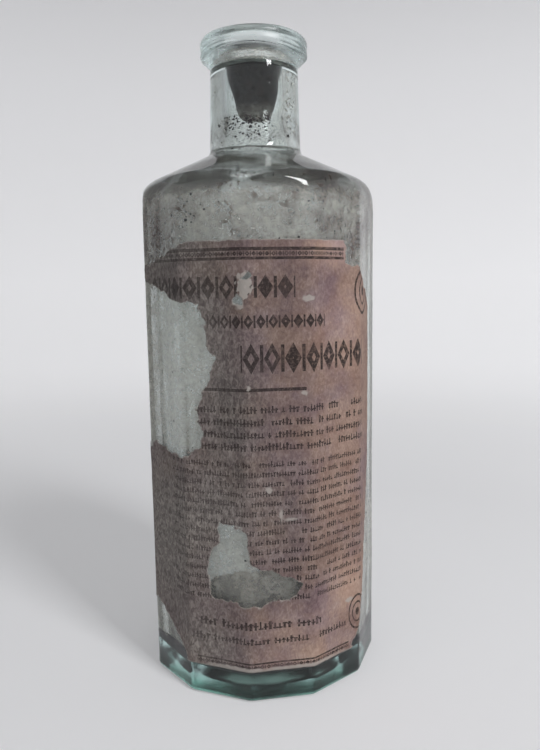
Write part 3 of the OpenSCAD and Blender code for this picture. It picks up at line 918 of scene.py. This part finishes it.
def letterpress_paper():
    """Cheap rag paper, letterpress printed and browned by spilt syrup and damp: mauve-brown,
    tan where it is rubbed, grey and dirty on the left, with paler fuzz at the tears. The
    lighter, tanner right and the greyer left are partly painted light and shade from the
    window on the right. The print is greeked to ticks, rules and ornaments and worn away in
    places."""
    material, node = new_material("browned_letterpress_paper")
    sheet = node("Attribute", out="Vector", attribute_name="sheet_mm")
    tone, grey, inset = (
        node("Attribute", out="Fac", attribute_name=name)
        for name in ("tone", "grey", "inset_mm")
    )
    blotch = node("TexNoise", {"Vector": sheet, "Scale": 0.16, "Detail": 6.0, "Roughness": 0.65})
    fleck = node("TexNoise", {"Vector": sheet, "Scale": 1.3, "Detail": 4.0, "Roughness": 0.7})
    drawn = node("Mapping", {0: sheet, 3: (1.5, 0.8, 1.0)})
    fibre = node("TexNoise", {"Vector": drawn, "Scale": 1.0, "Detail": 3.0, "Distortion": 1.2})
    tone = node("Math", (blotch, 0.9, tone), operation="MULTIPLY_ADD")
    tone = node("Math", (fleck, 0.60, tone), operation="MULTIPLY_ADD")
    tone = node("Math", (tone, 0.74), operation="SUBTRACT")
    hue = node("TexNoise", {"Vector": sheet, "Scale": 0.07, "Detail": 5.0, "Roughness": 0.6})
    mauve = node("ValToRGB", (tone,),
                 stops=[(0.0, "#3f3335"), (0.45, "#765f61"), (1.0, "#a98f8a")])
    tan = node("ValToRGB", (tone,), stops=[(0.0, "#463935"), (0.45, "#84695e"), (1.0, "#b99a88")])
    # more tan, and so lighter, to the right: partly the paper's own colour, partly painted light
    # from the window on the right
    across = node("SeparateXYZ", (sheet,))
    hue = node("Math", (across, 0.0035, hue), operation="MULTIPLY_ADD")
    warm = node("MapRange", (hue, 0.44, 0.62))
    colour = node("Mix", {0: warm, 6: mauve, 7: tan}, out=2, data_type="RGBA")
    # grey dirt, heavier on the left: partly real dirt, partly painted shade where the window on
    # the right lights the label least
    dirt_and_shade = node("Math", (blotch, 0.8, grey), operation="MULTIPLY_ADD")
    dirt_and_shade = node("Math", (fleck, 0.5, dirt_and_shade), operation="MULTIPLY_ADD")
    dirt_and_shade = node("MapRange", (dirt_and_shade, 0.50, 1.45, 0.0, 0.85))
    grime_and_shade = node("ValToRGB", (fibre,),
                 stops=[(0.34, "#635e5a"), (0.50, "#7c7772"), (0.66, "#938e87")])
    colour = node("Mix", {0: dirt_and_shade, 6: colour, 7: grime_and_shade}, out=2, data_type="RGBA")
    thread = node("MapRange", (fibre, 0.35, 0.7, 0.90, 1.10))
    colour = node("VectorMath", (colour, thread), operation="MULTIPLY")

    # rows of print: foot, pitch, count, tick, left and right end, seed
    marks = [greek_rows(node, sheet, *row) for row in (
        (58.4, 2.75, 4, 0.78, -12.0, 32.0, 1), (23.9, 2.2, 15, 0.62, -20.0, 31.0, 2),
        (17.4, 3.2, 1, 1.1, -12.0, 17.0, 3), (13.9, 2.6, 1, 0.9, -14.0, 25.0, 4),
    )]
    # headings and borders: foot, height, period, left and right end
    marks += [ornament_row(node, sheet, *row) for row in (
        (91.0, 5.4, 4.3, -27.4, 11.3), (84.8, 3.2, 2.7, -8.4, 18.6), (75.0, 7.0, 4.6, -0.8, 31.4),
        (100.1, 1.1, 1.4, -29.0, 24.5), (8.1, 1.0, 1.5, -13.0, 26.0),
    )]
    # ovals: middle and half sizes
    marks += [oval(node, sheet, 32.0, 92.5, 4.2, 5.4), oval(node, sheet, 29.0, 16.2, 3.0, 4.4)]
    # rules: left and right end, lower and upper edge
    marks += [clip_to(node, sheet, 1.0, *row) for row in (
        (-10.5, 13.5, 71.4, 72.1), (-29.0, 24.5, 99.4, 100.0), (-29.0, 24.5, 101.3, 102.0),
        (-13.0, 26.0, 9.2, 9.6),
    )]
    ink = marks[0]
    for mark in marks[1:]:
        ink = node("Math", (ink, mark), operation="MAXIMUM")
    worn = node("MapRange", (fleck, 0.34, 0.52, 0.4, 0.95))
    kept = node("MapRange", (blotch, 0.3, 0.5, 0.65, 1.0))
    # faded where the dirt and the painted shade are heavy
    shown = node("MapRange", (dirt_and_shade, 0.30, 0.85, 1.0, 0.60))
    for share in (worn, kept, shown):
        ink = node("Math", (ink, share), operation="MULTIPLY")

    ragged = node("Math", (fleck, 0.9, inset), operation="MULTIPLY_ADD")
    fringe = node("MapRange", (ragged, 0.42, 0.70, 0.75, 0.0))
    for amount, tint in ((ink, "#221b1a"), (fringe, "#a8a29b")):
        colour = node("Mix", {0: amount, 6: colour, 7: linear(tint)}, out=2, data_type="RGBA")
    relief = node("Math", (fibre, 0.5, fleck), operation="MULTIPLY_ADD")
    bump = node("Bump", {"Height": relief, "Strength": 0.5, "Distance": 0.00012})
    surface = node("BsdfPrincipled", {
        "Base Color": colour, "Roughness": 0.72, "Specular IOR Level": 0.25, "Normal": bump,
    })
    node("OutputMaterial", {"Surface": surface})
    return material


# --- pieces
def place_piece(piece, material, body, slot, *nodes):
    """Gives a piece its material and body, and hides the CAD nodes that it stands for. The slot
    is not used.
    """
    piece.data.materials.append(material)
    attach(piece, body)
    if nodes:
        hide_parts(*nodes)


body_glass = aqua_blown_glass("aqua_blown_glass", 0.0, 0.0, 0.08)
tooled_glass = aqua_blown_glass("aqua_tooled_glass", 5.0, 0.12, 0.40)
syrup = dried_syrup()
haze = dried_haze()
place_piece(bottle_glass(), body_glass, "bottle", "aqua_glass", "bottle_body")
place_piece(collar_glass(), tooled_glass, "bottle", "collar_glass", "applied_collar")
place_piece(label_sheet(), letterpress_paper(), "bottle", "label_paper", "paper_label")
place_piece(residue_crust(), syrup, "bottle", "dried_residue", "dried_residue")
place_piece(haze_film(), haze, "bottle", "dried_residue")
place_piece(mouth_haze(), haze, "bottle", "dried_residue")
place_piece(sediment_specks(), syrup, "bottle", "dried_residue")
place_piece(cork(), syrup_black_cork(), "cork", "aged_cork", "cork_stopper")


# --- stage, lights and camera
def studio_bowl():
    """A pale floor that turns up into a low wall all round, glowing a little as a light tent
    does: radius and height of a profile, with a round of 0.35 m between floor and wall."""
    theta = np.linspace(0, TAU, 96, endpoint=False)
    profile = np.concatenate([
        run(12, (20, 0), (450, 0)),
        bend(14, (450, 350), 350, -90, 0),
        run(6, (800, 380), (800, 700)),
    ])
    grid = lathe(profile, theta)
    rows, columns = grid.shape[:2]
    faces = [face[::-1] for face in ring_faces(rows, columns, False)]
    points = np.concatenate([grid.reshape(-1, 3), [(0, 0, 0)]])
    column = np.arange(columns)
    centre = np.column_stack([np.full(columns, rows * columns), column, (column + 1) % columns])
    bowl = make_mesh("studio_bowl", points, faces + centre.tolist())
    material, node = new_material("matt_white_paper")
    # painted light: the bowl glows by itself, standing in for lamps that light a tent from
    # outside
    at = node("TexCoord", out="Object")
    radius = node("VectorMath", (at,), out="Value", operation="LENGTH")
    glow = node("MapRange", (radius, 0.15, 0.55, 0.28, 0.475))
    # painted light and shade: the glow is less high up, to the left, and on the side that the
    # object's front faces
    place = node("SeparateXYZ", (at,)).node.outputs
    for coordinate, start, end, from_share, to_share in (
        (2, 0.10, 0.50, 1.0, 0.50), (0, -0.40, 0.40, 0.90, 1.06), (1, -0.50, -0.05, 0.25, 1.0),
        (0, -0.72, -0.42, 0.25, 1.0), (0, 0.45, 0.75, 1.0, 0.55),
    ):
        share = node("MapRange", (place[coordinate], start, end, from_share, to_share))
        glow = node("Math", (glow, share), operation="MULTIPLY")
    surface = node("BsdfPrincipled", {
        "Base Color": linear("#d2d2d3"),
        "Roughness": 0.9,
        "Specular IOR Level": 0.1,
        "Emission Color": linear("#f8f8fa"),
        "Emission Strength": glow,
    })
    node("OutputMaterial", {"Surface": surface})
    bowl.data.materials.append(material)


def soft_light(name, azimuth, elevation, distance, size, power, colour="#ffffff"):
    """A rectangular soft light that looks at the middle of the bottle. Azimuth 0 is on the
    -Y side, 90 on the +X side."""
    data = bpy.data.lights.new(name, "AREA")
    data.shape = "RECTANGLE"
    data.size, data.size_y = size
    data.energy = power
    data.color = linear(colour)[:3]
    lamp = bpy.data.objects.new(name, data)
    bpy.context.scene.collection.objects.link(lamp)
    turn, lift = math.radians(azimuth), math.radians(elevation)
    level = math.cos(lift)
    way = Vector((math.sin(turn) * level, -math.cos(turn) * level, math.sin(lift)))
    middle = Vector((0, 0, 0.075))
    lamp.location = middle + way * distance
    lamp.rotation_euler = way.to_track_quat("Z", "Y").to_euler()


def room_light(level):
    """Even light from the room beyond the bowl."""
    world = bpy.data.worlds.new("studio_room")
    world.use_nodes = True
    background = world.node_tree.nodes["Background"]
    background.inputs["Color"].default_value = linear("#f4f6fa")
    background.inputs["Strength"].default_value = level
    bpy.context.scene.world = world


def place_camera():
    """A close camera a little over half the bottle's height, looking slightly down."""
    distance, height, azimuth = 0.1738, 0.0939, 6.354
    yaw, pitch, roll = -0.904, 7.384, -0.881
    data = bpy.data.cameras.new("camera")
    data.sensor_width = 36.0
    data.lens = 33.05
    data.clip_start = 0.005
    camera = bpy.data.objects.new("camera", data)
    bpy.context.scene.collection.objects.link(camera)
    turn = math.radians(azimuth)
    spot = Vector((distance * math.sin(turn), -distance * math.cos(turn), height))
    camera.matrix_world = (
        Matrix.Translation(spot)
        @ Matrix.Rotation(math.radians(azimuth + yaw), 4, "Z")
        @ Matrix.Rotation(math.radians(90 - pitch), 4, "X")
        @ Matrix.Rotation(math.radians(roll), 4, "Z")
    )
    bpy.context.scene.camera = camera


studio_bowl()
room_light(0.10)
soft_light("window", 46, 37, 0.75, (0.15, 0.36), 3.2, "#fdfdff")
soft_light("ceiling", -20, 74, 0.95, (0.30, 0.30), 0.5)
place_camera()
bpy.context.scene.view_settings.view_transform = "Standard"
